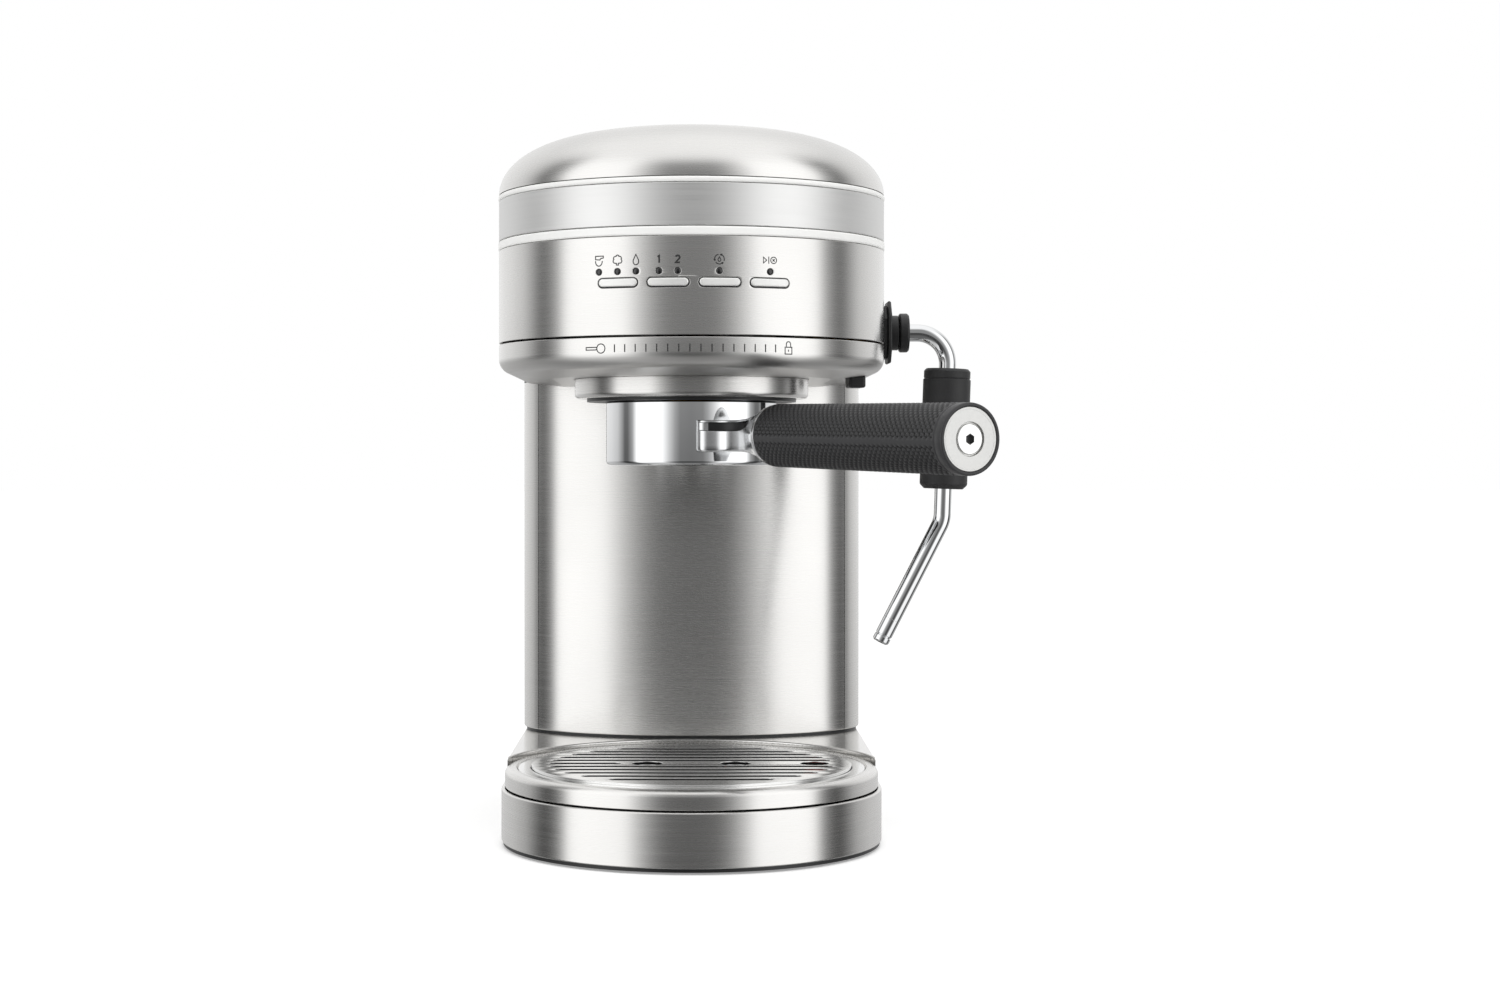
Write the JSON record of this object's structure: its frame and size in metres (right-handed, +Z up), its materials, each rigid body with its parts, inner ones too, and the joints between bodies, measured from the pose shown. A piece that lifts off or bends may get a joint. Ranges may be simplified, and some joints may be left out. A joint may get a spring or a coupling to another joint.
{
  "type": "espresso machine",
  "caption": "Compact espresso machine with a round steel head, bayonet filter holder, swivelling steam wand, lift-out drip tray and rear water tank.",
  "frame": {"origin": "on the floor directly below the brew axis, at the middle of the round front, on the middle foot's lower face", "axes": "+Z up, -Y to the front, +X to the right, where the steam wand is"},
  "size_m": [0.216, 0.3949, 0.3221],
  "materials": {
    "brushed_steel": "satin brushed stainless steel",
    "bright_trim": "polished trim",
    "polished_chrome": "polished chrome plate",
    "polished_steel": "polished stainless steel",
    "zinc_screw": "zinc plated steel",
    "black_moulding": "black moulded ABS, fine grain",
    "black_rubber": "black rubber",
    "lamp_lens": "dark glossy lens",
    "disc_metal": "satin turned aluminium",
    "tank_plastic": "smoky clear plastic",
    "float_plastic": "red moulded plastic",
    "valve_plastic": "white moulded plastic",
    "frame_steel": "painted pressed steel",
    "brass": "machined brass",
    "cast_aluminium": "cast aluminium",
    "dark_steel": "painted steel",
    "circuit_board": "green laminate",
    "hose": "clear silicone hose"
  },
  "bodies": {
    "machine": {"feet": "black_rubber", "floor_pan": "black_moulding", "case_screws": "zinc_screw", "base_band": "brushed_steel", "base_deck": "brushed_steel", "tank_seat": "black_moulding", "mains_inlet": "black_moulding", "inner_frame": "frame_steel", "back_wall": "black_moulding", "column_front": "brushed_steel", "column_sides": "brushed_steel", "head_lower_shell": "brushed_steel", "control_panel": "brushed_steel", "lower_trim": "bright_trim", "plain_band": "brushed_steel", "upper_trim": "bright_trim", "dome_cover": "brushed_steel", "ring_shroud": "brushed_steel", "bayonet_ring": "black_moulding", "group_casting": "brass", "group_gasket": "black_rubber", "shower_screen": "polished_steel", "shower_screw": "zinc_screw", "indicator_lamps": "lamp_lens", "button_carrier": "black_moulding", "circuit_boards": "circuit_board", "wand_flange": "black_moulding", "wand_collar": "black_moulding", "steam_valve": "brass", "pump": "dark_steel", "pump_mounts": "black_rubber", "heater_block": "cast_aluminium", "solenoid_valve": "dark_steel", "flow_meter": "valve_plastic", "water_hoses": "hose"},
    "filter_holder": {"holder_body": "polished_chrome", "filter_basket": "polished_steel", "basket_spring": "polished_steel", "outlet_nozzle": "black_moulding", "handle_grip": "black_moulding", "handle_disc": "disc_metal", "handle_bolt": "polished_steel"},
    "tray": {"tray_tub": "black_moulding", "tray_rim": "brushed_steel"},
    "grate": {"drip_grate": "polished_steel"},
    "float": {"tray_float": "float_plastic"},
    "function_key": {"button_function": "polished_steel"},
    "shots_key": {"button_shots": "polished_steel"},
    "clean_key": {"button_clean": "polished_steel"},
    "start_key": {"button_start": "polished_steel"},
    "wand": {"wand_tube": "polished_chrome", "wand_grip": "black_rubber", "wand_tip": "polished_chrome"},
    "latch": {"release_latch": "black_moulding"},
    "tank": {"water_tank": "tank_plastic"},
    "lid": {"tank_lid": "black_moulding", "lid_pin": "polished_steel"},
    "foot_valve": {"tank_valve": "valve_plastic"},
    "rocker": {"power_rocker": "black_moulding"}
  },
  "joints": [
    {"name": "holder_turn", "type": "hinge", "parent": "machine", "child": "filter_holder", "pos_m": [0, 0, 0.185], "axis": [0, 0, 1], "range_deg": [-57, 0]},
    {"name": "tray_lift", "type": "slide", "parent": "machine", "child": "tray", "axis": [0, 0, 1], "range_m": [0, 0.045]},
    {"name": "grate_lift", "type": "slide", "parent": "tray", "child": "grate", "axis": [0, 0, 1], "range_m": [0, 0.04]},
    {"name": "float_rise", "type": "slide", "parent": "tray", "child": "float", "axis": [0, 0, 1], "range_m": [0, 0.005]},
    {"name": "wand_swivel", "type": "hinge", "parent": "machine", "child": "wand", "pos_m": [0.0953, 0.012, 0.2324], "axis": [1, 0, 0], "range_deg": [-50, 5]},
    {"name": "latch_press", "type": "slide", "parent": "machine", "child": "latch", "axis": [0, 0, 1], "range_m": [0, 0.002], "stiffness_N_per_m": 300},
    {"name": "tank_lift", "type": "slide", "parent": "machine", "child": "tank", "axis": [0, 0, 1], "range_m": [0, 0.29]},
    {"name": "lid_open", "type": "hinge", "parent": "tank", "child": "lid", "pos_m": [0, 0.166, 0.3184], "axis": [1, 0, 0], "range_deg": [0, 85]},
    {"name": "valve_push", "type": "slide", "parent": "tank", "child": "foot_valve", "axis": [0, 0, 1], "range_m": [0, 0.003], "stiffness_N_per_m": 200},
    {"name": "rocker_tip", "type": "hinge", "parent": "machine", "child": "rocker", "pos_m": [-0.021, 0.2, 0.01425], "axis": [1, 0, 0], "range_deg": [0, 16]},
    {"name": "function_press", "type": "slide", "parent": "machine", "child": "function_key", "axis": [0.3567, 0.9342, 0], "range_m": [0, 0.0012], "stiffness_N_per_m": 400},
    {"name": "shots_press", "type": "slide", "parent": "machine", "child": "shots_key", "axis": [0.1132, 0.9936, 0], "range_m": [0, 0.0012], "stiffness_N_per_m": 400},
    {"name": "clean_press", "type": "slide", "parent": "machine", "child": "clean_key", "axis": [-0.1374, 0.9905, 0], "range_m": [0, 0.0012], "stiffness_N_per_m": 400},
    {"name": "start_press", "type": "slide", "parent": "machine", "child": "start_key", "axis": [-0.3795, 0.9252, 0], "range_m": [0, 0.0012], "stiffness_N_per_m": 400}
  ]
}
